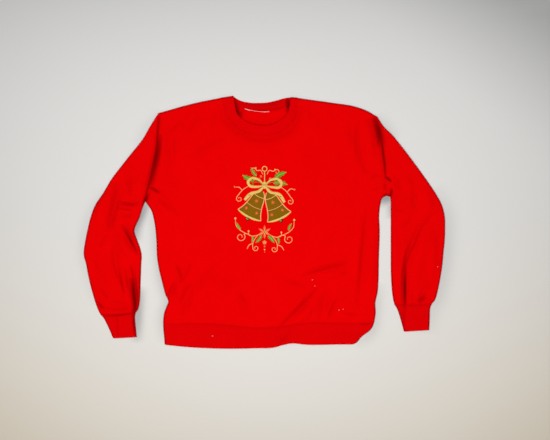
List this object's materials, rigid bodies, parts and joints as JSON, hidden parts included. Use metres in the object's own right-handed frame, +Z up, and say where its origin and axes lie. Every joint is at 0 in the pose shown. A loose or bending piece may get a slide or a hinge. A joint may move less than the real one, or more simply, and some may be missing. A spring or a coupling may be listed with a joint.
{
  "type": "christmas sweater",
  "caption": "Crew-neck fleece sweatshirt laid flat, front up, with set-in sleeves, rib collar, cuffs and hem band, and an embroidered Christmas motif on the chest.",
  "frame": {"origin": "middle of the garment's bounding box, on the surface it lies on", "axes": "+X to the viewer's right across both sleeves, +Y from the hem to the neck, +Z up from the surface, through the back and then the front"},
  "size_m": [0.905, 0.6315, 0.0133],
  "materials": {
    "fleece": "brushed-back cotton fleece, matt",
    "rib": "cotton rib knit, matt",
    "label": "blank woven label, satin",
    "thread_brown": "rayon embroidery thread, satin",
    "thread_peach": "rayon embroidery thread, satin",
    "thread_gold": "rayon embroidery thread, satin",
    "thread_green": "rayon embroidery thread, satin",
    "thread_dark": "rayon embroidery thread, satin"
  },
  "bodies": {
    "root": {"back": "fleece", "front": "fleece", "sleeve_left": "fleece", "sleeve_right": "fleece", "cuff_left": "rib", "cuff_right": "rib", "hem_band": "rib", "collar": "rib", "neck_label": "label"}
  },
  "joints": []
}
